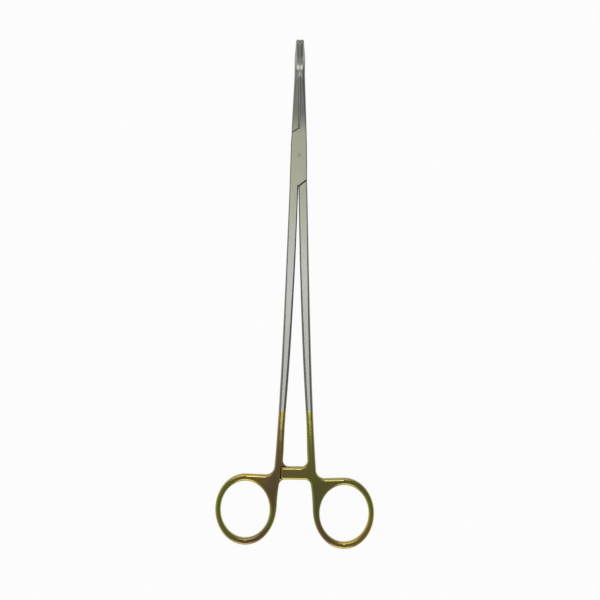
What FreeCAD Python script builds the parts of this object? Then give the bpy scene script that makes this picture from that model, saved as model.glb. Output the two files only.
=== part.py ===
"""Right angle clamp: a ring-handled box-lock clamp whose jaws bend up near the tips.

Millimetres. The origin is on the axis of the lock pin, in the plane that the clamp lies on.
+Y runs along the jaws, +Z up, away from that plane, and -Y along the shanks to the finger rings.
"""
import FreeCAD, Part
import math
import os

import Sketcher
from FreeCAD import Placement, Rotation, Vector

doc = FreeCAD.newDocument("right_angle_clamp")

# Driving sizes: alias, value, meaning
SIZES = [
    ("lock_depth", 4.8, "thickness of the box lock"),
    ("lock_top", 12.9, "from the pin to where the jaws part, along Y"),
    ("crotch_depth", 14.65, "from the pin to where the shanks part"),
    ("box_half_width", 4.0, "half width of the box lock at the pin"),
    ("wall", 1.35, "each cheek of the box lock"),
    ("slide_gap", 0.05, "play of the waist between the cheeks"),
    ("boss_radius", 3.05, "round boss of the waist about the pin"),
    ("side_gap", 0.15, "play beside the waist in its slot"),
    ("opening_angle", 50, "how far the halves turn apart, degrees"),
    ("stop_play", 1.5, "turn left over before the slot stops the waist, degrees"),
    ("pin_radius", 1.3, "lock pin"),
    ("pin_play", 0.03, "radial play of the pin in the waist"),
    ("upper_seam_gap", 0.3, "gap of the seam on the jaw side"),
    ("lower_seam_gap", 0.55, "gap of the seam on the shank side"),
    ("seam_rise", 2.3, "rise of the upper seam across the box"),
    ("lower_seam_rise", 3.25, "rise of the lower seam across the box"),
    ("jaw_gap", 0.08, "gap between the closed jaws"),
    ("jaw_root_width", 3.53, "one jaw at the lock"),
    ("jaw_bend_width", 2.53, "one jaw at the bend"),
    ("jaw_tip_width", 1.8, "one jaw at the end of the tip"),
    ("jaw_straight", 25.25, "straight jaw from the lock to the bend"),
    ("jaw_drop", 0.8, "how far the jaw's front face sinks towards the bend"),
    ("jaw_bend_depth", 3.2, "thickness of the jaw at the bend"),
    ("jaw_tip_depth", 1.85, "thickness of the jaw at the end of the tip"),
    ("jaw_front_round", 1.3, "rounded front edge of the jaw at the bend"),
    ("jaw_back_round", 1.2, "rounded back edge of the jaw at the bend"),
    ("tip_front_round", 0.4, "rounded front edge of the tip"),
    ("tip_back_round", 0.8, "rounded back edge of the tip"),
    ("tip_end_round", 0.5, "rounded end of the tip"),
    ("jaw_bevel", 0.25, "bevel of the jaws' inner edges"),
    ("tip_bevel", 0.35, "bevel of the tips' inner edges"),
    ("bend_radius", 6.5, "inner radius of the bend"),
    ("bend_angle", 74, "turn of the bend, degrees"),
    ("tip_length", 20.5, "straight tip past the bend"),
    ("groove_pitch", 1.0, "pitch of the cross serrations"),
    ("groove_depth", 0.25, "depth of the cross serrations"),
    ("shank_spread", 6.4, "how much further out a shank ends than it starts"),
    ("shank_thin", 0.65, "how much the shanks thin on each face half way down"),
    ("ring_half_width", 14.4, "outer half width of a ring"),
    ("ring_half_height", 17.1, "outer half height of a ring"),
    ("ring_side_band", 2.65, "width of a ring's sides"),
    ("ring_end_band", 3.5, "width of a ring's two ends"),
    ("ring_depth", 4.4, "thickness of the rings"),
    ("ring_lap", 1.05, "how far a ring reaches in past its shank's outer corner"),
    ("left_ring_drop", 0.45, "from the middle of the ratchet to the left ring's top"),
    ("right_ring_drop", 1.95, "from the middle of the ratchet to the right ring's top"),
    ("stem_corner_radius", 4.0, "inside corner between shank and ring"),
    ("shoulder_slope", 2.0, "slope of the ring's upper shoulder, degrees"),
    ("edge_round", 1.25, "rounded edges of rings and lower shanks"),
    ("lock_edge_round", 0.5, "rounded edges at the box lock"),
    ("ratchet_reach", 152.55, "from the pin to the middle of the ratchet arms"),
    ("ratchet_height", 6.3, "height of a ratchet arm"),
    ("ratchet_arm_end", 7.1, "from the middle plane to an arm's free end"),
    ("ratchet_corner_radius", 3.0, "inside corners at the root of an arm"),
    ("ratchet_play", 0.2, "room around an arm in the other half's recess"),
    ("tooth_count", 5, "ratchet teeth on each arm"),
    ("tooth_pitch", 1.8, "pitch of the ratchet teeth"),
    ("tooth_height", 0.5, "height of the ratchet teeth"),
    ("tooth_gap", 0.06, "from a tooth's tip to the plane between the arms"),
]

sizes = doc.addObject("Spreadsheet::Sheet", "sizes")
for row, (alias, amount, meaning) in enumerate(SIZES, start=1):
    sizes.set(f"A{row}", meaning)
    sizes.set(f"B{row}", str(amount))
    sizes.setAlias(f"B{row}", alias)
doc.recompute()
ALIASES = sorted((alias for alias, _, _ in SIZES), key=len, reverse=True)


def value(expression):
    """Evaluate an expression over the sheet's cells."""
    return float(sizes.evalExpression(str(expression)))


def bound(expression):
    """Write the cells of an expression as references to the sheet."""
    text = str(expression)
    for index, alias in enumerate(ALIASES):
        text = text.replace(alias, f"<{index}>")
    for index, alias in enumerate(ALIASES):
        text = text.replace(f"<{index}>", f"sizes.{alias}")
    return text


def bind(target, **properties):
    """Bind properties of an object to expressions over the sheet."""
    for name, expression in properties.items():
        target.setExpression(name.replace("__", "."), bound(expression))


def new_sketch(body, role, name, height=None):
    """Add a sketch on one of the body's origin planes, raised as asked."""
    sketch = body.newObject("Sketcher::SketchObject", name)
    plane = next(f for f in body.Origin.OriginFeatures if f.Role == role)
    sketch.AttachmentSupport = [(plane, "")]
    sketch.MapMode = "FlatFace"
    if height is not None:
        sketch.setExpression("AttachmentOffset.Base.z", bound(height))
    return sketch


def fix_point(sketch, geometry, position, x, y):
    """Hold a point of a sketch at expressions for its two coordinates."""
    for kind, expression in (("DistanceX", x), ("DistanceY", y)):
        constraint = Sketcher.Constraint(kind, -1, 1, geometry, position, value(expression))
        number = sketch.addConstraint(constraint)
        sketch.setExpression(f"Constraints[{number}]", bound(expression))


def add_spline(sketch, poles):
    """Add a smooth curve held by its poles."""
    curve = Part.BSplineCurve()
    curve.buildFromPoles([Vector(value(x), value(y), 0) for x, y in poles], False, 3)
    geometry = sketch.addGeometry(curve, False)
    sketch.exposeInternalGeometry(geometry)
    for index, (x, y) in enumerate(poles):
        fix_point(sketch, geometry + 1 + index, 3, x, y)
    return geometry


def add_arc(sketch, start, end, radius):
    """Add a short arc that turns left from its start to its end."""
    first, last = (Vector(value(x), value(y), 0) for x, y in (start, end))
    size = value(radius)
    chord = last - first
    across = Vector(-chord.y, chord.x, 0).normalize()
    centre = (first + last) / 2 + across * math.sqrt(size ** 2 - chord.Length ** 2 / 4)
    angles = [math.atan2(point.y - centre.y, point.x - centre.x) for point in (first, last)]
    circle = Part.Circle(centre, Vector(0, 0, 1), size)
    geometry = sketch.addGeometry(Part.ArcOfCircle(circle, *angles), False)
    number = sketch.addConstraint(Sketcher.Constraint("Radius", geometry, size))
    sketch.setExpression(f"Constraints[{number}]", bound(radius))
    return geometry


def add_wire(sketch, runs):
    """Add a closed outline of runs: a line's two points, a curve's poles, or an arc's two
    points and its radius. Curves hold their ends themselves; other corners are held here."""
    geometries = []
    curved = []
    for run in runs:
        curved.append(len(run) > 3 or len(run) == 3 and not isinstance(run[2], str))
        if curved[-1]:
            geometries.append(add_spline(sketch, run))
        elif len(run) == 3:
            geometries.append(add_arc(sketch, *run))
        else:
            ends = [Vector(value(x), value(y), 0) for x, y in run]
            geometries.append(sketch.addGeometry(Part.LineSegment(*ends), False))
    for index, run in enumerate(runs):
        before = geometries[index - 1]
        here = geometries[index]
        sketch.addConstraint(Sketcher.Constraint("Coincident", before, 2, here, 1))
        if not curved[index] and not curved[index - 1]:
            fix_point(sketch, here, 1, *run[0])


def add_polygon(sketch, corners):
    """Add a closed outline of straight lines."""
    add_wire(sketch, [(corners[i], corners[(i + 1) % len(corners)]) for i in range(len(corners))])


def add_ellipse(sketch, centre, half_x, half_y):
    """Add an upright ellipse, its longer axis along the sketch's Y."""
    x, y = (value(part) for part in centre)
    long_end = Vector(x, y - value(half_y), 0)
    short_end = Vector(x - value(half_x), y, 0)
    geometry = sketch.addGeometry(Part.Ellipse(long_end, short_end, Vector(x, y, 0)), False)
    sketch.exposeInternalGeometry(geometry)
    fix_point(sketch, geometry, 3, *centre)
    sketch.addConstraint(Sketcher.Constraint("Vertical", geometry + 1))
    for line, half in ((geometry + 1, half_y), (geometry + 2, half_x)):
        constraint = Sketcher.Constraint("Distance", line, 2 * value(half))
        number = sketch.addConstraint(constraint)
        sketch.setExpression(f"Constraints[{number}]", bound(f"2 * ({half})"))


def mirrored(side, points):
    """Points of the right half as they are, or mirrored for the left half."""
    return [(f"{side} * ({x})", y) for x, y in points]


def edges_where(shape, test):
    """Names of the edges of a shape that pass a test."""
    return [f"Edge{i}" for i, edge in enumerate(shape.Edges, start=1) if test(edge)]


def is_upright(edge):
    """Whether an edge is a straight line along Z."""
    box = edge.BoundBox
    return box.XLength < 1e-4 and box.YLength < 1e-4


def near(edge, x, y, room=1.0):
    """Whether an upright edge stands near a place in plan."""
    point = edge.CenterOfMass
    return math.hypot(point.x - x, point.y - y) < room


def add_pad(body, sketch, name, length, both_ways=False):
    """Add a pad of a sketch to a body."""
    pad = body.newObject("PartDesign::Pad", name)
    pad.Profile = sketch
    bind(pad, Length=length)
    pad.Midplane = both_ways
    return pad


def add_through_pocket(body, sketch, name):
    """Cut a sketch through the whole body, both ways."""
    pocket = body.newObject("PartDesign::Pocket", name)
    pocket.Profile = sketch
    pocket.Type = "ThroughAll"
    pocket.Midplane = True
    return pocket


# Where both jaws begin, just above the upper seam
JAW_START = "(lock_top + 1.28 * upper_seam_gap)"
# The shank's outer corner at the ring, the ring's centre across, and each ring's centre along
STEM = "(box_half_width + shank_spread)"
RING_ACROSS = f"({STEM} - ring_lap + ring_half_width)"
LEFT_REACH = "(ratchet_reach + left_ring_drop + ring_half_height)"
RIGHT_REACH = "(ratchet_reach + right_ring_drop + ring_half_height)"
FINGER_HALF_WIDTH = "(ring_half_width - ring_side_band)"
FINGER_HALF_HEIGHT = "(ring_half_height - ring_end_band)"
# How deep the blanks are drawn, before their faces are trimmed
BLANK_LOW = "-1"
BLANK_TOP = "(max(lock_depth; ring_depth) + 1)"
# How far a cutting tool runs past what it cuts
PAST = 2
# Where the waist's tongue and its slot end, in the metal below and above the lock
TONGUE_BELOW = "(crotch_depth + 1)"
TONGUE_ABOVE = "(lock_top + 0.2)"
# How far the slot's tool reaches to each side, and out along the faces that stop the waist
SLOT_HALF_WIDTH = 9
MOUTH_REACH = 8
# Share of the way to the ring's axes at which the last pole of the inner side leads into the ring
RING_LEAD = 0.48
# Most of a ring's side band that its two edge rounds may take up, each
MOST_ROUND = 0.475


def down(share):
    """Y of a station on the shank, as a share of the way from the crotch to the ratchet."""
    return f"-(crotch_depth + {share} * (ratchet_reach - crotch_depth))"


# Stations of the shank's outer and inner sides: share of the spread across, share of the way
# down. The sides bow apart and close in again at the ratchet.
SHANK_OUTER = [
    (f"box_half_width + {across} * shank_spread", down(along)) for across, along in (
        (0.080, 0.068), (0.205, 0.256), (0.395, 0.510), (0.592, 0.728), (0.795, 0.895),
        (0.917, 0.975))
]
SHANK_INNER = [
    (f"{across} * shank_spread", down(along)) for across, along in (
        (0.031, 0.039), (0.112, 0.198), (0.316, 0.445), (0.566, 0.677), (0.865, 0.851),
        (0.852, 0.953))
]


def shoulder_line(reach):
    """Ends of the ring's upper shoulder: the stem's outer corner and the touching point."""
    slope = "tan(shoulder_slope)"
    root = f"sqrt(ring_half_width^2 * {slope}^2 + ring_half_height^2)"
    touch_x = f"{RING_ACROSS} - ring_half_width^2 * {slope} / {root}"
    touch_y = f"-{reach} + ring_half_height^2 / {root}"
    corner_y = f"{touch_y} - ({touch_x} - {STEM}) * {slope}"
    return (STEM, corner_y), (touch_x, touch_y)


def stem_end(reach):
    """Last two poles of the inner side, which meets the ring smoothly half way to its bottom."""
    across = f"{RING_ACROSS} - ring_half_width * cos(45)"
    along = f"-{reach} - ring_half_height * sin(45)"
    before = (f"{across} - {RING_LEAD} * ring_half_width * sin(45)",
              f"{along} + {RING_LEAD} * ring_half_height * cos(45)")
    return before, (across, along)


def half_outline(body, side, reach, lock_outline):
    """Sketch a half's plan from the lock down to its ring."""
    sketch = new_sketch(body, "XY_Plane", "plan")
    corner, touch = shoulder_line(reach)
    before, end = stem_end(reach)
    upper_outer, crotch, lock_runs = lock_outline
    outer = upper_outer + SHANK_OUTER + [corner]
    # The two poles after the ring's own follow the photograph: beside the ring, under the arm
    inner = [end, before, (f"{STEM} - 1.65", f"-({reach} - 0.3275 * ring_half_height)"),
             (f"{STEM} - 3.1", "-(ratchet_reach + ratchet_height / 2 + 0.3)")]
    inner += SHANK_INNER[::-1] + [crotch]
    runs = [outer, [corner, touch], [touch, end], inner] + lock_runs
    add_wire(sketch, [mirrored(side, run) for run in runs])
    return sketch


def side_profile_cut(body, reach):
    """Trim a half's front and back faces to their profile seen from the side."""
    sketch = new_sketch(body, "YZ_Plane", "side_profile")
    top = f"{BLANK_TOP} + {PAST}"
    bottom = f"{BLANK_LOW} - {PAST}"
    flat_end = "-(crotch_depth - 4)"
    ring_start = "-(ratchet_reach - 6)"
    far_end = f"-({reach} + ring_half_height + {PAST})"
    near_end = f"lock_top + {PAST}"
    middle = "ring_depth - shank_thin"
    front = [
        (flat_end, "lock_depth"), (down(0.094), "lock_depth"),
        (down(0.343), f"(lock_depth + {middle}) / 2"), (down(0.575), middle),
        (down(0.778), middle), (down(0.891), "ring_depth"), (ring_start, "ring_depth"),
    ]
    back = [(y, z) for y, z in zip(
        [y for y, _ in front],
        ["0", "0", "shank_thin / 2", "shank_thin", "shank_thin", "0", "0"])]
    add_wire(sketch, [
        [(near_end, "lock_depth"), (flat_end, "lock_depth")],
        front,
        [(ring_start, "ring_depth"), (far_end, "ring_depth")],
        [(far_end, "ring_depth"), (far_end, top)],
        [(far_end, top), (near_end, top)],
        [(near_end, top), (near_end, "lock_depth")],
    ])
    add_wire(sketch, [
        [(near_end, "0"), (flat_end, "0")],
        back,
        [(ring_start, "0"), (far_end, "0")],
        [(far_end, "0"), (far_end, bottom)],
        [(far_end, bottom), (near_end, bottom)],
        [(near_end, bottom), (near_end, "0")],
    ])
    return add_through_pocket(body, sketch, "side_profile_cut")


def add_fillet(body, base, name, edges, radius):
    """Round named edges of a body."""
    fillet = body.newObject("PartDesign::Fillet", name)
    fillet.Base = (base, edges)
    bind(fillet, Radius=radius)
    doc.recompute()
    return fillet


def make_blank(name, side, reach, lock_outline):
    """Forge one half's ring, shank and ratchet arm in full depth, with its edges rounded."""
    body = doc.addObject("PartDesign::Body", f"{name}_blank")
    depth = f"{BLANK_TOP} - ({BLANK_LOW})"
    plan = half_outline(body, side, reach, lock_outline)
    plan.setExpression("AttachmentOffset.Base.z", BLANK_LOW)
    add_pad(body, plan, "plan_pad", depth)

    centre = (f"{side} * {RING_ACROSS}", f"-{reach}")
    ring = new_sketch(body, "XY_Plane", "ring", BLANK_LOW)
    add_ellipse(ring, centre, "ring_half_width", "ring_half_height")
    add_pad(body, ring, "ring_pad", depth)

    upper = "-(ratchet_reach - ratchet_height / 2)"
    lower = "-(ratchet_reach + ratchet_height / 2)"
    arm = new_sketch(body, "XY_Plane", "arm", BLANK_LOW)
    arm_end = "-ratchet_arm_end"
    arm_root = f"{STEM} - 2.4"
    add_polygon(arm, mirrored(side, [(arm_end, upper), (arm_end, lower),
                                     (arm_root, lower), (arm_root, upper)]))
    arm_pad = add_pad(body, arm, "arm_pad", depth)
    doc.recompute()

    corner_x, corner_y = (value(part) for part in shoulder_line(reach)[0])
    stem = edges_where(arm_pad.Shape, lambda edge: is_upright(edge) and near(
        edge, side * corner_x, corner_y, 1.5))
    rounded = add_fillet(body, arm_pad, "stem_corner", stem, "stem_corner_radius")
    levels = (value(upper), value(lower))
    root_x = side * value(f"{STEM} - 4.2")
    roots = edges_where(rounded.Shape, lambda edge: is_upright(edge) and any(
        near(edge, root_x, level, 1.8) for level in levels))
    rounded = add_fillet(body, rounded, "arm_roots", roots, "ratchet_corner_radius")

    finger = new_sketch(body, "XY_Plane", "finger")
    add_ellipse(finger, centre, FINGER_HALF_WIDTH, FINGER_HALF_HEIGHT)
    add_through_pocket(body, finger, "finger_opening")
    side_profile_cut(body, reach)
    doc.recompute()
    return body


def is_level(face):
    """Whether a face looks up or down rather than sideways."""
    u0, u1, v0, v1 = face.ParameterRange
    return abs(face.normalAt((u0 + u1) / 2, (v0 + v1) / 2).z) > 0.8


def round_edges(blank, name):
    """Round the long edges of a blank: lightly at the lock, fully from the ratchet on."""
    shape = blank.Shape
    levels = [face for face in shape.Faces if is_level(face)]
    sides = [face for face in shape.Faces if not is_level(face)]
    lock_edge = value("lock_edge_round")
    full = value(f"min(edge_round; {MOST_ROUND} * ring_side_band)")
    rounds = []
    for number, edge in enumerate(shape.Edges, start=1):
        on_level = any(edge.isSame(other) for face in levels for other in face.Edges)
        on_side = any(edge.isSame(other) for face in sides for other in face.Edges)
        middle = edge.CenterOfMass
        at_seams = middle.y > -value("crotch_depth") and abs(middle.x) < 3
        if not (on_level and on_side) or at_seams:
            continue
        first, last = edge.Vertexes[0].Point, edge.Vertexes[-1].Point
        radii = [lock_edge if point.y > -value("crotch_depth") - 1.1 else full
                 for point in (first, last)]
        rounds.append((number, *radii))
    # A chain of edges takes its direction from the first one named, so the long one leads it
    rounds.sort(key=lambda entry: -shape.Edges[entry[0] - 1].Length)
    rounded = doc.addObject("Part::Fillet", name)
    rounded.Base = blank
    rounded.Edges = rounds
    doc.recompute()
    return rounded


def jaw_section(body, name, width, depth, bevel, rounds, place, turn="0"):
    """Sketch the right jaw's half-oval section, its origin at the centre of the bend if turned."""
    sketch = new_sketch(body, "XZ_Plane", name)
    sketch.AttachmentOffset = Placement(Vector(), Rotation(Vector(1, 0, 0), value(turn)))
    along, up = place
    sketch.setExpression("AttachmentOffset.Base.y", bound(up))
    sketch.setExpression("AttachmentOffset.Base.z", bound(f"-({along})"))
    sketch.setExpression("AttachmentOffset.Rotation.Angle", bound(turn))
    inner = "jaw_gap / 2"
    front = "-bend_radius"
    back = f"-(bend_radius + {depth})"
    front_round, back_round = rounds
    back_inner = (f"{inner} + {bevel}", back)
    back_outer = (f"{width} - {back_round}", back)
    outer_back = (width, f"{back} + {back_round}")
    outer_front = (width, f"{front} - {front_round}")
    front_outer = (f"{width} - {front_round}", front)
    front_inner = (f"{inner} + {bevel}", front)
    inner_front = (inner, f"{front} - {bevel}")
    inner_back = (inner, f"{back} + {bevel}")
    add_wire(sketch, [
        (back_inner, back_outer), (back_outer, outer_back, back_round),
        (outer_back, outer_front), (outer_front, front_outer, front_round),
        (front_outer, front_inner), (front_inner, inner_front),
        (inner_front, inner_back), (inner_back, back_inner),
    ])
    return sketch


def add_loft(body, name, sections):
    """Join sections of a body by a straight loft."""
    loft = body.newObject("PartDesign::AdditiveLoft", name)
    loft.Profile = sections[0]
    loft.Sections = sections[1:]
    loft.Ruled = True
    return loft


def add_grooves(body, name, place, turn, start, count, back=False, pivot=None):
    """Cut a row of V grooves across the right jaw's inner face, in line or round the bend."""
    sketch = new_sketch(body, "XY_Plane", f"{name}_groove")
    sketch.AttachmentOffset = Placement(Vector(), Rotation(Vector(1, 0, 0), value(turn)))
    along, up = place
    sketch.setExpression("AttachmentOffset.Base.y", bound(along))
    sketch.setExpression("AttachmentOffset.Base.z", bound(up))
    sketch.setExpression("AttachmentOffset.Rotation.Angle", bound(turn))
    mouth = "jaw_gap / 4"
    root = "jaw_gap / 2 + groove_depth"
    half = "(groove_depth + jaw_gap / 4)"
    add_polygon(sketch, [(mouth, f"{start} - {half}"), (root, start),
                         (mouth, f"{start} + {half}")])
    pocket = body.newObject("PartDesign::Pocket", f"{name}_first_groove")
    pocket.Profile = sketch
    pocket.Type = "ThroughAll"
    doc.recompute()
    if pivot is None:
        pattern = body.newObject("PartDesign::LinearPattern", f"{name}_grooves")
        pattern.Direction = (sketch, ["V_Axis"])
        pattern.Reversed = back
        bind(pattern, Length=f"({count} - 1) * groove_pitch")
    else:
        pattern = body.newObject("PartDesign::PolarPattern", f"{name}_grooves")
        pattern.Axis = (pivot, ["H_Axis"])
        bind(pattern, Angle=f"bend_angle * ({count} - 1) / {count}")
    pattern.Originals = [pocket]
    bind(pattern, Occurrences=count)
    body.Tip = pattern
    doc.recompute()
    return pattern


def make_jaw():
    """Forge the right jaw: straight from the lock, bent up, and straight again to its end."""
    body = doc.addObject("PartDesign::Body", "right_jaw")
    bend_y = "(lock_top + jaw_straight)"
    centre_z = "(lock_depth - jaw_drop + bend_radius)"
    root = jaw_section(body, "root", "jaw_root_width", "lock_depth", "jaw_bevel",
                       ("lock_edge_round", "lock_edge_round"),
                       (JAW_START, "lock_depth + bend_radius"))
    at_bend = ("jaw_bend_width", "jaw_bend_depth", "jaw_bevel",
               ("jaw_front_round", "jaw_back_round"), (bend_y, centre_z))
    bend_start = jaw_section(body, "bend_start", *at_bend)
    add_loft(body, "straight_jaw", [root, bend_start])
    bend = body.newObject("PartDesign::Revolution", "bend")
    bend.Profile = bend_start
    bend.ReferenceAxis = (bend_start, ["H_Axis"])
    bind(bend, Angle="bend_angle")
    doc.recompute()
    bend_end = jaw_section(body, "bend_end", *at_bend, "bend_angle")
    tip_end = jaw_section(
        body, "tip_end", "jaw_tip_width", "jaw_tip_depth", "tip_bevel",
        ("tip_front_round", "tip_back_round"),
        (f"{bend_y} + tip_length * cos(bend_angle)", f"{centre_z} + tip_length * sin(bend_angle)"),
        "bend_angle")
    tip = add_loft(body, "tip", [bend_end, tip_end])
    doc.recompute()

    end_face = max(tip.Shape.Faces, key=lambda face: face.CenterOfMass.z)
    rim = edges_where(tip.Shape, lambda edge: any(edge.isSame(e) for e in end_face.Edges))
    add_fillet(body, tip, "tip_round", rim, "tip_end_round")
    add_grooves(body, "straight", ("0", "lock_depth + 1"), "0", f"{bend_y} - groove_pitch / 2",
                "floor((jaw_straight - 2) / groove_pitch)", back=True)
    arc = "(bend_radius + jaw_bend_depth / 2) * bend_angle / 57.3"
    add_grooves(body, "bend", (bend_y, centre_z), "0", "groove_pitch * 0.4",
                f"floor({arc} / groove_pitch)", pivot=bend_start)
    add_grooves(body, "tip", (bend_y, centre_z), "bend_angle", "groove_pitch / 2",
                "floor((tip_length - tip_end_round - 0.4) / groove_pitch)")
    return body


def make_prism(name, corners, low, high):
    """Make an upright prism from a polygon in plan."""
    body = doc.addObject("PartDesign::Body", name)
    sketch = new_sketch(body, "XY_Plane", f"{name}_plan", low)
    add_polygon(sketch, corners)
    add_pad(body, sketch, f"{name}_pad", f"({high}) - ({low})")
    doc.recompute()
    return body


def make_cylinder(name, radius, low, high):
    """Make a cylinder about the axis of the lock."""
    cylinder = doc.addObject("Part::Cylinder", name)
    bind(cylinder, Radius=radius, Height=f"({high}) - ({low})", Placement__Base__z=low)
    return cylinder


def tangent_point(radius, distance, side):
    """Where a line from a point on the Y axis touches a circle about the pin."""
    return (f"{side} * {radius} * sqrt(1 - ({radius} / ({distance}))^2)",
            f"{side} * {radius} * {radius} / ({distance})")


def slot_corner(radius, distance, side):
    """Nearest corner to the pin of the solid beside the slot, between its two faces."""
    lean = f"asin({radius} / ({distance}))"
    turn = "((opening_angle + stop_play) * 1deg)"
    reach = f"{radius} / cos(({turn} - {lean}) / 2)"
    return (f"{side} * {reach} * cos(({turn} + {lean}) / 2)",
            f"{side} * {reach} * sin(({turn} + {lean}) / 2)")


def slot_mouth(radius, side):
    """A point on the face that stops the waist at full opening, outside the box."""
    turn = "((opening_angle + stop_play) * 1deg)"
    return (f"{side} * ({radius} * cos({turn}) + {MOUTH_REACH} * sin({turn}))",
            f"{side} * ({radius} * sin({turn}) - {MOUTH_REACH} * cos({turn}))")


def make_slot():
    """The space through the box in which the waist lies and turns."""
    radius = "(boss_radius + side_gap)"
    corners = [
        ("0", f"-{TONGUE_BELOW}"), (SLOT_HALF_WIDTH, f"-{TONGUE_BELOW}"), slot_mouth(radius, 1),
        slot_corner(radius, TONGUE_ABOVE, 1),
        ("0", TONGUE_ABOVE), (-SLOT_HALF_WIDTH, TONGUE_ABOVE), slot_mouth(radius, -1),
        slot_corner(radius, TONGUE_BELOW, -1),
    ]
    return make_prism("slot", corners, "wall", "lock_depth - wall")


def make_waist():
    """The thin waist that joins the right shank to the left jaw through the box."""
    low = "wall + slide_gap"
    high = "lock_depth - wall - slide_gap"
    turn = "(opening_angle * 1deg)"
    flare = f"((box_half_width + 0.1 - boss_radius * cos({turn})) / sin({turn}))"
    corners = [
        # Rooted in the right shank, inside its skin
        ("side_gap", f"-{TONGUE_BELOW}"),
        ("0.45", "-(crotch_depth + 3)"), ("3.5", "-(crotch_depth + 3)"),
        ("box_half_width + 0.03", "-(crotch_depth - 2.2)"),
        # Up the right flank, which meets the slot's face at full opening, to the boss
        ("box_half_width", f"-({flare} + 1.8)"), ("boss_radius", f"-{flare}"),
        tangent_point("boss_radius", TONGUE_ABOVE, 1),
        # Rooted in the foot of the left jaw
        ("-side_gap", "lock_top"), ("-side_gap - 0.1", f"{JAW_START} + 0.1"),
        ("-(jaw_root_width - 0.4)", f"{JAW_START} + 0.1"),
        ("-(box_half_width - 0.5)", "lock_top - 2.2"),
        # Down the left flank to the boss and back
        ("-box_half_width", f"{flare} + 1.8"), ("-boss_radius", flare),
        tangent_point("boss_radius", TONGUE_BELOW, -1),
    ]
    tongue = make_prism("tongue", corners, low, high)
    boss = make_cylinder("boss", "boss_radius", low, high)
    waist = doc.addObject("Part::Fuse", "waist")
    waist.Base = tongue
    waist.Tool = boss
    hole = make_cylinder("waist_hole", "pin_radius + pin_play", "0", "lock_depth")
    drilled = doc.addObject("Part::Cut", "drilled_waist")
    drilled.Base = waist
    drilled.Tool = hole
    return drilled


def make_jaw_foot():
    """The root of the left jaw, from the upper seam to where the jaw begins."""
    body = make_prism("left_jaw_foot", [
        ("-jaw_gap / 2", JAW_START),
        ("-jaw_root_width", JAW_START),
        ("-(box_half_width - 0.45)", "lock_top - seam_rise + 1.2 * upper_seam_gap"),
        ("-jaw_gap / 2", "lock_top + 1.2 * upper_seam_gap"),
    ], "0", "lock_depth")
    pad = body.Tip
    outer = edges_where(pad.Shape, lambda edge: not is_upright(edge) and edge.CenterOfMass.x
                        < -value("jaw_root_width") + 0.1)
    add_fillet(body, pad, "foot_edges", outer, "lock_edge_round")
    return body


def make_recess(name, side, low, high):
    """The room cut from a half's ratchet root for the other half's arm."""
    upper = "-(ratchet_reach - ratchet_height / 2 - ratchet_play)"
    lower = "-(ratchet_reach + ratchet_height / 2 + ratchet_play)"
    inside = "ratchet_arm_end + ratchet_play"
    outside = "-(ratchet_arm_end + 1)"
    return make_prism(name, mirrored(side, [(outside, lower), (inside, lower),
                                            (inside, upper), (outside, upper)]), low, high)


def make_teeth(name, side, base, tip):
    """A row of sawteeth across a ratchet arm, steep towards the arm's own root."""
    body = doc.addObject("PartDesign::Body", name)
    sketch = new_sketch(body, "XZ_Plane", "tooth", "ratchet_reach")
    start = "-ratchet_arm_end + 0.3"
    rise = f"({tip}) - ({base})"
    add_polygon(sketch, mirrored(side, [
        (start, f"{base} - ({rise}) * 0.4"), (start, base),
        (f"{start} + tooth_pitch - 0.25", tip), (f"{start} + tooth_pitch - 0.1", tip),
        (f"{start} + tooth_pitch", base), (f"{start} + tooth_pitch", f"{base} - ({rise}) * 0.4"),
    ]))
    tooth = add_pad(body, sketch, "first_tooth", "ratchet_height - 2", both_ways=True)
    doc.recompute()
    row = body.newObject("PartDesign::LinearPattern", "teeth")
    row.Direction = (sketch, ["H_Axis"])
    row.Reversed = side < 0
    bind(row, Length="(tooth_count - 1) * tooth_pitch", Occurrences="tooth_count")
    row.Originals = [tooth]
    body.Tip = row
    doc.recompute()
    return body


def fuse(name, pieces):
    """Join pieces into one solid."""
    whole = doc.addObject("Part::MultiFuse", name)
    whole.Shapes = pieces
    whole.Refine = False
    return whole


def cut(name, base, tools):
    """Cut tools away from a base."""
    for number, tool in enumerate(tools, start=1):
        result = doc.addObject("Part::Cut", f"{name}_cut_{number}")
        result.Base = base
        result.Tool = tool
        base = result
    return base


def make_box_half(jaw):
    """Left ring and shank, rear ratchet arm, box of the lock and right jaw."""
    crotch = ("0.05", "-crotch_depth")
    low_corner = ("-(box_half_width + 0.1)", "-(crotch_depth - lower_seam_rise)")
    jaw_outer = ("-jaw_root_width", JAW_START)
    jaw_inner = ("-jaw_gap / 2", JAW_START)
    parting = ("-jaw_gap / 2", "lock_top")
    seam_end = ("box_half_width - 0.46", "lock_top - seam_rise")
    right_side = [low_corner, ("-(box_half_width + 0.05)", "-4"),
                  ("-(box_half_width - 0.1)", "5"), jaw_outer]
    left_side = [seam_end, ("box_half_width + 0.01", "3"), ("box_half_width + 0.05", "-9")]
    lock_runs = [[crotch, low_corner], right_side, [jaw_outer, jaw_inner],
                 [jaw_inner, parting], [parting, seam_end]]
    blank = make_blank("box_half", -1, LEFT_REACH, (left_side, crotch, lock_runs))
    rounded = round_edges(blank, "box_half_rounded")
    hole = make_cylinder("box_hole", "pin_radius + pin_play", "-1", "lock_depth + 1")
    level = "ring_depth / 2 - tooth_gap - tooth_height"
    recess = make_recess("front_recess", -1, level, "ring_depth + 2")
    body = cut("box_half", rounded, [make_slot(), hole, recess])
    teeth = make_teeth("rear_teeth", -1, level, "ring_depth / 2 - tooth_gap")
    return fuse("box_half", [body, jaw, teeth])


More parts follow.
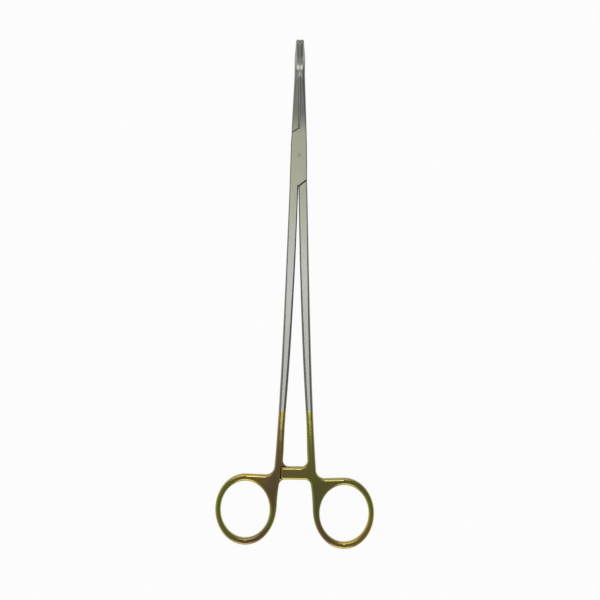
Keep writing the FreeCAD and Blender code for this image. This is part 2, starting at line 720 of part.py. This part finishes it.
def make_through_half(jaw):
    """Right ring and shank, front ratchet arm, waist and left jaw."""
    gap = "1.28 * lower_seam_gap"
    crotch = ("0.05", f"-(crotch_depth + {gap})")
    seam_end = ("box_half_width + 0.1", f"-(crotch_depth + {gap} - lower_seam_rise)")
    right_side = [seam_end, ("box_half_width + 0.35", "-(crotch_depth + 2.4)")]
    blank = make_blank("through_half", 1, RIGHT_REACH,
                       (right_side, crotch, [[crotch, seam_end]]))
    rounded = round_edges(blank, "through_half_rounded")
    level = "ring_depth / 2 + tooth_gap + tooth_height"
    recess = make_recess("rear_recess", 1, "-1", level)
    body = cut("through_half", rounded, [recess])
    teeth = make_teeth("front_teeth", 1, level, "ring_depth / 2 + tooth_gap")
    return fuse("through_half", [body, make_waist(), make_jaw_foot(), jaw, teeth])


def make_lock_pin():
    """The pin of the box lock, ground flush with both faces."""
    body = doc.addObject("PartDesign::Body", "lock_pin")
    sketch = new_sketch(body, "XY_Plane", "pin_section")
    circle = sketch.addGeometry(Part.Circle(Vector(), Vector(0, 0, 1), value("pin_radius")), False)
    sketch.addConstraint(Sketcher.Constraint("Coincident", circle, 3, -1, 1))
    number = sketch.addConstraint(Sketcher.Constraint("Radius", circle, value("pin_radius")))
    sketch.setExpression(f"Constraints[{number}]", bound("pin_radius"))
    add_pad(body, sketch, "pin_pad", "lock_depth")
    doc.recompute()
    return body


def save_part(node, label):
    """Check a finished sub-part and write its solid."""
    node.Label = label
    shape = node.Shape
    if shape.isNull() or not shape.isValid() or len(shape.Solids) != 1:
        raise RuntimeError(f"{label}: not one valid solid")
    shape.Solids[0].exportStep(os.path.join("parts", f"{label}.step"))
    print(f"{label}: {shape.Volume:.1f} mm3, {len(shape.Faces)} faces, {shape.BoundBox}")


right_jaw = make_jaw()
left_jaw = doc.addObject("Part::Mirroring", "left_jaw")
left_jaw.Source = right_jaw
left_jaw.Normal = Vector(1, 0, 0)
parts = {
    "box_half": make_box_half(right_jaw),
    "through_half": make_through_half(left_jaw),
    "lock_pin": make_lock_pin(),
}
doc.recompute()

failed = [item.Name for item in doc.Objects if {"Invalid", "Error"} & set(item.State)]
if failed:
    raise RuntimeError(f"failed objects: {failed}")
os.makedirs("parts", exist_ok=True)
for label, node in parts.items():
    save_part(node, label)
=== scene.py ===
"""Looks of a right angle clamp: satin steel jaws, box and shanks, gold plated ratchet and rings.

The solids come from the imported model. This script adds their finish, the floor, the light and the
camera. Lengths are in metres: X to the right, Y towards the tips, Z up, and the pivot at X = Y = 0.
"""

import math

import bpy
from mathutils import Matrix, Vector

# Steel: its darkest and lightest clouds, the tinted stretch at the box lock, the painted shade of
# the two jaws and of the rounded edges, the painted highlight in the hollow of the bends, and the
# dark used for painted shade in the seams and for the pin's smudge
STEEL_DARK = (0.51, 0.51, 0.47, 1)
STEEL_LIGHT = (0.62, 0.62, 0.58, 1)
STEEL_TINTED = (0.55, 0.56, 0.43, 1)
LEFT_JAW_PAINTED_SHADE = (0.295, 0.30, 0.255, 1)
RIGHT_JAW_PAINTED_SHADE = (0.245, 0.25, 0.23, 1)
STEEL_EDGE_PAINTED_SHADE = (0.26, 0.27, 0.235, 1)
BEND_PAINTED_HIGHLIGHT = (0.48, 0.48, 0.44, 1)
SHADE_AND_SMUDGE_DARK = (0.05, 0.05, 0.04, 1)

# Gold plating: its ground colour and its tints
GOLD_OLIVE = (0.36, 0.385, 0.09, 1)
GOLD_AMBER = (0.52, 0.37, 0.10, 1)
GOLD_BROWN = (0.33, 0.21, 0.115, 1)
GOLD_GREEN = (0.27, 0.32, 0.10, 1)

# Where the plating starts on the shanks, how far its edge strays from a straight line, and how
# soft the edge is
PLATING_START = -0.1228
PLATING_EDGE_STRAY = 0.0006
PLATING_EDGE_BLUR = 0.0001

# Y from which the steel takes on the tint of the box lock, and the painted shade of the jaws, and Y
# where each is full
TINT_STARTS, TINT_FULL = -0.048, -0.022
JAW_SHADE_START, JAW_SHADE_FULL = 0.010, 0.020

# A face counts as flat above the first share of its normal along Z, and as edge below the second.
# Edges take painted shade and a smoother satin.
FLAT_NORMAL, EDGE_NORMAL = 0.993, 0.93

# Sizes of the noises, in cells a metre: clouds and grain of the satin, its brush marks and how much
# longer than wide they are, the plating's clouds, tints, ripple and edge
STEEL_CLOUDS = 160
STEEL_GRAIN = 9000
BRUSH_MARKS, BRUSH_STRETCH = 5200, 14
GOLD_CLOUDS = 45
GOLD_AMBER_CLOUDS = 70
GOLD_RIPPLE = 260
GOLD_EDGE_WAVES = 350

# Roughness of the satin, which coarsens towards the box lock between two places along Y, of its
# clouds and edges, and of the plating
FINE_SATIN_Y, COARSE_SATIN_Y = -0.060, 0.0
FINE_SATIN, COARSE_SATIN = 0.33, 0.41
CLOUD_ROUGHER = 0.06
EDGE_SMOOTHER = 0.10
GOLD_ROUGHNESS, GOLD_CLOUD_ROUGHER = 0.09, 0.03

# Depth of the satin's relief, and the grain's and the gold ripple's height as shares of it
RELIEF = 0.0000016
GRAIN_SHARE = 0.5
RIPPLE_SHARE = 5.0

# Tints of the plating: two ends of each stretch, X and Y, how far it spreads, and its colour
TINTS = [
    ((-0.0090, -0.1330), (-0.0120, -0.1650), 0.0070, GOLD_BROWN),
    ((0.0105, -0.1300), (0.0112, -0.1480), 0.0030, GOLD_BROWN),
    ((-0.0260, -0.1545), (-0.0150, -0.1560), 0.0040, GOLD_AMBER),
    ((-0.0220, -0.1870), (-0.0140, -0.1830), 0.0060, GOLD_BROWN),
    ((0.0110, -0.1600), (0.0100, -0.1780), 0.0060, GOLD_GREEN),
    ((0.0120, -0.1800), (0.0180, -0.1860), 0.0050, GOLD_BROWN),
    ((0.0220, -0.1870), (0.0370, -0.1760), 0.0060, GOLD_AMBER),
]
TINT_STRENGTH = 0.8
TINT_CORE = 0.2
CLOUD_STRENGTH = 0.4

# Painted shade in the upper seam, the lower seam, the crotch of the shanks and between the jaws: two
# ends of each stretch, X and Y, and how far it spreads. The pin has a faint smudge.
PAINTED_SHADE_STRETCHES = [
    ((0.0, 0.01308), (-0.00400, 0.01050), 0.00030),
    ((-0.0001, -0.01500), (0.00430, -0.01155), 0.00046),
    ((0.0, -0.0150), (0.0, -0.0205), 0.00070),
    ((0.0, 0.01308), (0.0, 0.0375), 0.00052),
]
PAINTED_SHADE_CORE = 0.6
PIN_SMUDGE = ((0.0002, -0.0002), (0.0002, 0.0003), 0.0009)
SMUDGE_CORE = 0.1
SMUDGE_STRENGTH = 0.35

# Painted highlight: the hollow of the bends made lighter, its two ends and how far it spreads
BEND_HIGHLIGHT_STRETCH = ((0.0, 0.0385), (0.0, 0.0440), 0.0022)
BEND_HIGHLIGHT_CORE = 0.2

# Surroundings: grey on the right, lighter on the left, darker overhead, where the change runs
# between two heights of a direction. Panels: the direction to each, and its radiance. A panel
# begins where a direction's product with its own reaches the first value, and is full at the second.
SURROUNDINGS_RIGHT = (0.26, 0.26, 0.26, 1)
SURROUNDINGS_LEFT = (0.62, 0.62, 0.60, 1)
SURROUNDINGS_OVERHEAD = (0.215, 0.215, 0.215, 1)
OVERHEAD_STARTS, OVERHEAD_FULL = 0.45, 0.95
PANELS = [((-0.14, 0.66, 0.74), 1.3), ((-0.07, -0.90, 0.43), 1.9)]
PANEL_STARTS, PANEL_FULL = 0.90, 0.97

# The one lamp: its place, what it faces, its size and its radiance
LAMP_PLACE = (0, 0.008, 2.0)
LAMP_AIM = (0, -0.07, 0)
LAMP_SIZE = (0.36, 0.30)
LAMP_RADIANCE = 6.0

# The floor, and how much of its white is its own and not light that falls on it
FLOOR_SIZE = 30
FLOOR_COLOUR = (0.95, 0.95, 0.95, 1)
WHITE = (1, 1, 1, 1)
FLOOR_OWN_WHITE = 0.95

# The camera looks straight down from this height, turned a little against the clamp
CAMERA_HEIGHT = 0.8024
CAMERA_AIM = (0.001385, -0.06942)
CAMERA_TURN = math.radians(0.67)
CAMERA_LENS = 99.9
CAMERA_NEAREST = 0.01


def node_tree(owner):
    """The empty node tree of a material or a world."""
    owner.use_nodes = True
    owner.node_tree.nodes.clear()
    return owner.node_tree


def feed(tree, socket, value):
    """Links another node's output to an input, or sets the input to a plain value."""
    if isinstance(value, bpy.types.NodeSocket):
        tree.links.new(value, socket)
    else:
        socket.default_value = value


def add_node(tree, kind, **inputs):
    """A new node. Inputs are named as on the node, and take a value or another node's output."""
    node = tree.nodes.new("ShaderNode" + kind)
    for name, value in inputs.items():
        feed(tree, node.inputs[name.replace("_", " ")], value)
    return node


def add_math(tree, operation, *values):
    """The output of a Math node on numbers or other nodes' outputs."""
    node = add_node(tree, "Math")
    node.operation = operation
    for socket, value in zip(node.inputs, values):
        feed(tree, socket, value)
    return node.outputs[0]


def add_vector_math(tree, operation, first, second, output="Vector"):
    """An output of a Vector Math node on two vectors or other nodes' outputs."""
    node = add_node(tree, "VectorMath")
    node.operation = operation
    feed(tree, node.inputs[0], first)
    feed(tree, node.inputs[1], second)
    return node.outputs[output]


def add_mix(tree, share, low, high, kind="RGBA"):
    """The output of a Mix node between two colours, or between two numbers of kind FLOAT."""
    node = add_node(tree, "Mix")
    node.data_type = kind
    sockets = [s for s in node.inputs if s.enabled]
    for socket, value in zip(sockets, (share, low, high)):
        feed(tree, socket, value)
    return next(s for s in node.outputs if s.enabled)


def add_ramp(tree, value, start, end, low=0.0, high=1.0):
    """A value's way from start to end as a way from low to high, held there on both sides."""
    return add_node(tree, "MapRange", Value=value, From_Min=start, From_Max=end,
                    To_Min=low, To_Max=high).outputs[0]


def noise(tree, place, scale, detail=2.0, stretch=(1, 1, 1)):
    """Noise of a scale in cells a metre, stretched by dividing each direction's scale."""
    mapping = add_node(tree, "Mapping", Vector=place, Scale=tuple(1 / s for s in stretch))
    node = add_node(tree, "TexNoise", Vector=mapping.outputs[0], Scale=scale, Detail=detail)
    return node.outputs["Fac"]


def spread(tree, share):
    """A noise's middle values stretched over the whole range from 0 to 1."""
    return add_ramp(tree, share, 0.38, 0.62)


def near_line(tree, place, start, end, width, core):
    """How near a place is in plan to a line between two points: 1 up to the core's share of
    the width, 0 from the width on."""
    (x0, y0), (x1, y1) = start, end
    length = math.hypot(x1 - x0, y1 - y0)
    along = ((x1 - x0) / length, (y1 - y0) / length, 0)
    aside = (-along[1], along[0], 0)
    offset = add_vector_math(tree, "SUBTRACT", place, (x0, y0, 0))
    way_along = add_vector_math(tree, "DOT_PRODUCT", offset, along, "Value")
    way_aside = add_vector_math(tree, "DOT_PRODUCT", offset, aside, "Value")
    from_middle = add_math(tree, "ABSOLUTE", add_math(tree, "SUBTRACT", way_along, length / 2))
    past_end = add_math(tree, "SUBTRACT", from_middle, length / 2)
    away = add_math(tree, "MAXIMUM", add_math(tree, "ABSOLUTE", way_aside), past_end)
    return add_ramp(tree, away, width, width * core)


def steel_colour(tree, place, along, cloud, at_edge, jaw_shade_colour):
    """Clouded steel, tinted at the box lock, with painted shade at the jaws and edges, a painted
    highlight in the bends' hollow, painted shade in the seams and a smudge on the pin.
    """
    colour = add_mix(tree, cloud, STEEL_DARK, STEEL_LIGHT)
    tinted = add_ramp(tree, along, TINT_STARTS, TINT_FULL)
    colour = add_mix(tree, tinted, colour, STEEL_TINTED)
    # Painted shade: faces turned away from straight up are darkened towards the edge colour
    colour = add_mix(tree, at_edge, colour, STEEL_EDGE_PAINTED_SHADE)
    # Painted shade: the jaws are darkened towards their own shade colour
    jaw_shade = add_ramp(tree, along, JAW_SHADE_START, JAW_SHADE_FULL)
    colour = add_mix(tree, jaw_shade, colour, jaw_shade_colour)
    # Painted highlight: a lighter steel in the hollow of the bends
    bend_highlight = near_line(tree, place, *BEND_HIGHLIGHT_STRETCH, BEND_HIGHLIGHT_CORE)
    colour = add_mix(tree, bend_highlight, colour, BEND_PAINTED_HIGHLIGHT)
    # Painted shade: dark stretches in the seams, the crotch of the shanks and the gap between the
    # jaws
    for stretch in PAINTED_SHADE_STRETCHES:
        painted_shade = near_line(tree, place, *stretch, PAINTED_SHADE_CORE)
        colour = add_mix(tree, painted_shade, colour, SHADE_AND_SMUDGE_DARK)
    on_pin = near_line(tree, place, *PIN_SMUDGE, SMUDGE_CORE)
    smudge = add_math(tree, "MULTIPLY", on_pin, SMUDGE_STRENGTH)
    return add_mix(tree, smudge, colour, SHADE_AND_SMUDGE_DARK)


def gold_colour(tree, place, clouded):
    """Olive gold with amber clouds, tinted stretches and brown clouds."""
    amber = spread(tree, noise(tree, place, GOLD_AMBER_CLOUDS))
    colour = add_mix(tree, add_math(tree, "MULTIPLY", amber, CLOUD_STRENGTH),
                     GOLD_OLIVE, GOLD_AMBER)
    for start, end, width, tint in TINTS:
        near = near_line(tree, place, start, end, width, TINT_CORE)
        colour = add_mix(tree, add_math(tree, "MULTIPLY", near, TINT_STRENGTH), colour, tint)
    brown = add_math(tree, "MULTIPLY", clouded, CLOUD_STRENGTH)
    return add_mix(tree, brown, colour, GOLD_BROWN)


def gold_mask(tree, place, along):
    """1 on the plating and 0 on the bare steel, with an edge that strays a little."""
    edge = add_math(tree, "MULTIPLY_ADD", noise(tree, place, GOLD_EDGE_WAVES),
                    PLATING_EDGE_STRAY, PLATING_START - PLATING_EDGE_STRAY / 2)
    past_edge = add_math(tree, "SUBTRACT", edge, along)
    mask = add_math(tree, "DIVIDE", past_edge, PLATING_EDGE_BLUR)
    mask.node.use_clamp = True
    return mask


def make_metal(name, jaw_shade_colour):
    """Satin steel with this painted shade at the jaw, gold plated from PLATING_START down."""
    material = bpy.data.materials.new(name)
    tree = node_tree(material)
    coordinates = add_node(tree, "TexCoord").outputs
    place = coordinates["Object"]
    along = add_node(tree, "SeparateXYZ", Vector=place).outputs["Y"]
    facing = add_node(tree, "SeparateXYZ", Vector=coordinates["Normal"]).outputs["Z"]
    at_edge = add_ramp(tree, add_math(tree, "ABSOLUTE", facing), FLAT_NORMAL, EDGE_NORMAL)

    cloud = noise(tree, place, STEEL_CLOUDS, detail=3)
    steel = steel_colour(tree, place, along, cloud, at_edge, jaw_shade_colour)
    satin = add_ramp(tree, along, FINE_SATIN_Y, COARSE_SATIN_Y, FINE_SATIN, COARSE_SATIN)
    satin = add_math(tree, "MULTIPLY_ADD", cloud, CLOUD_ROUGHER, satin)
    satin = add_math(tree, "MULTIPLY_ADD", at_edge, -EDGE_SMOOTHER, satin)
    grain = add_math(tree, "MULTIPLY", noise(tree, place, STEEL_GRAIN, detail=1), GRAIN_SHARE)
    brushed = noise(tree, place, BRUSH_MARKS, stretch=(1, BRUSH_STRETCH, 1))
    steel_relief = add_math(tree, "ADD", grain, brushed)

    clouded = spread(tree, noise(tree, place, GOLD_CLOUDS, detail=3))
    gold = gold_colour(tree, place, clouded)
    gold_gloss = add_math(tree, "MULTIPLY_ADD", clouded, GOLD_CLOUD_ROUGHER, GOLD_ROUGHNESS)
    gold_relief = add_math(tree, "MULTIPLY", noise(tree, place, GOLD_RIPPLE, detail=1),
                           RIPPLE_SHARE)

    plated = gold_mask(tree, place, along)
    relief = add_mix(tree, plated, steel_relief, gold_relief, "FLOAT")
    bump = add_node(tree, "Bump", Distance=RELIEF, Strength=1.0, Height=relief)
    shader = add_node(tree, "BsdfPrincipled", Metallic=1.0,
                      Base_Color=add_mix(tree, plated, steel, gold),
                      Roughness=add_mix(tree, plated, satin, gold_gloss, "FLOAT"),
                      Normal=bump.outputs[0])
    add_node(tree, "OutputMaterial", Surface=shader.outputs[0])
    return material


def finish_node(name, jaw_shade_colour):
    """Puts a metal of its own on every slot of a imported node."""
    metal = make_metal(name + "_metal", jaw_shade_colour)
    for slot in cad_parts[name].material_slots:
        slot.material = metal


def make_floor():
    """A pale floor that shows white to the camera and in reflections, with a soft shadow."""
    bpy.ops.mesh.primitive_plane_add(size=FLOOR_SIZE, location=(0, 0, 0))
    floor = bpy.context.object
    floor.name = "floor"
    material = bpy.data.materials.new("floor")
    tree = node_tree(material)
    path = add_node(tree, "LightPath").outputs
    seen = add_math(tree, "MAXIMUM", path["Is Camera Ray"],
                    add_math(tree, "MAXIMUM", path["Is Glossy Ray"], path["Is Transmission Ray"]))
    lit = add_node(tree, "BsdfDiffuse", Color=FLOOR_COLOUR)
    white = add_node(tree, "Emission", Color=WHITE, Strength=1.0)
    both = add_node(tree, "MixShader")
    own_share = add_math(tree, "MULTIPLY", seen, FLOOR_OWN_WHITE)
    for socket, value in zip(both.inputs, (own_share, lit.outputs[0], white.outputs[0])):
        feed(tree, socket, value)
    add_node(tree, "OutputMaterial", Surface=both.outputs[0])
    floor.data.materials.append(material)


def make_world():
    """Grey surroundings, darker overhead and lighter towards the left, with two panels."""
    world = bpy.data.worlds.new("studio")
    bpy.context.scene.world = world
    tree = node_tree(world)
    direction = add_node(tree, "TexCoord").outputs["Generated"]
    across, _, up = add_node(tree, "SeparateXYZ", Vector=direction).outputs
    left = add_ramp(tree, across, 1.0, -1.0)
    colour = add_mix(tree, left, SURROUNDINGS_RIGHT, SURROUNDINGS_LEFT)
    overhead = add_ramp(tree, up, OVERHEAD_STARTS, OVERHEAD_FULL)
    colour = add_mix(tree, overhead, colour, SURROUNDINGS_OVERHEAD)
    for towards, radiance in PANELS:
        nearness = add_vector_math(tree, "DOT_PRODUCT", direction, towards, "Value")
        panel = add_ramp(tree, nearness, PANEL_STARTS, PANEL_FULL)
        colour = add_mix(tree, panel, colour, (radiance, radiance, radiance, 1))
    background = add_node(tree, "Background", Color=colour, Strength=1.0)
    add_node(tree, "OutputWorld", Surface=background.outputs[0])


def make_lamp():
    """A rectangular lamp high above the clamp, equally bright all over."""
    lamp = bpy.data.lights.new("overhead_softbox", "AREA")
    lamp.shape = "RECTANGLE"
    lamp.size, lamp.size_y = LAMP_SIZE
    lamp.energy = LAMP_RADIANCE * math.pi * LAMP_SIZE[0] * LAMP_SIZE[1]
    softbox = bpy.data.objects.new("overhead_softbox", lamp)
    bpy.context.scene.collection.objects.link(softbox)
    softbox.location = LAMP_PLACE
    aim = Vector(LAMP_AIM) - softbox.location
    softbox.rotation_euler = aim.to_track_quat("-Z", "Y").to_euler()


def make_camera():
    """The photograph's camera: straight above, turned a little."""
    camera = bpy.data.objects.new("camera", bpy.data.cameras.new("camera"))
    bpy.context.scene.collection.objects.link(camera)
    camera.data.lens = CAMERA_LENS
    camera.data.clip_start = CAMERA_NEAREST
    camera.location = (*CAMERA_AIM, CAMERA_HEIGHT)
    camera.rotation_euler = (0, 0, CAMERA_TURN)
    bpy.context.scene.camera = camera


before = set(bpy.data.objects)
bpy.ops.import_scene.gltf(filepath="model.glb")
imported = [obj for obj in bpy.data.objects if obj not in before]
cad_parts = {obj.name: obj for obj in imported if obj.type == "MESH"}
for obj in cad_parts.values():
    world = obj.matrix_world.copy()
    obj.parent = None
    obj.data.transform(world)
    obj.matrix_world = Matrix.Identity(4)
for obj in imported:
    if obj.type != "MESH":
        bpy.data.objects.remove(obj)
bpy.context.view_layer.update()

bpy.context.scene.view_settings.view_transform = "Standard"
make_camera()
make_world()
make_floor()
make_lamp()

# Painted shade: the right jaw is given a darker shade than the left
finish_node("box_half", RIGHT_JAW_PAINTED_SHADE)
finish_node("through_half", LEFT_JAW_PAINTED_SHADE)
finish_node("lock_pin", RIGHT_JAW_PAINTED_SHADE)
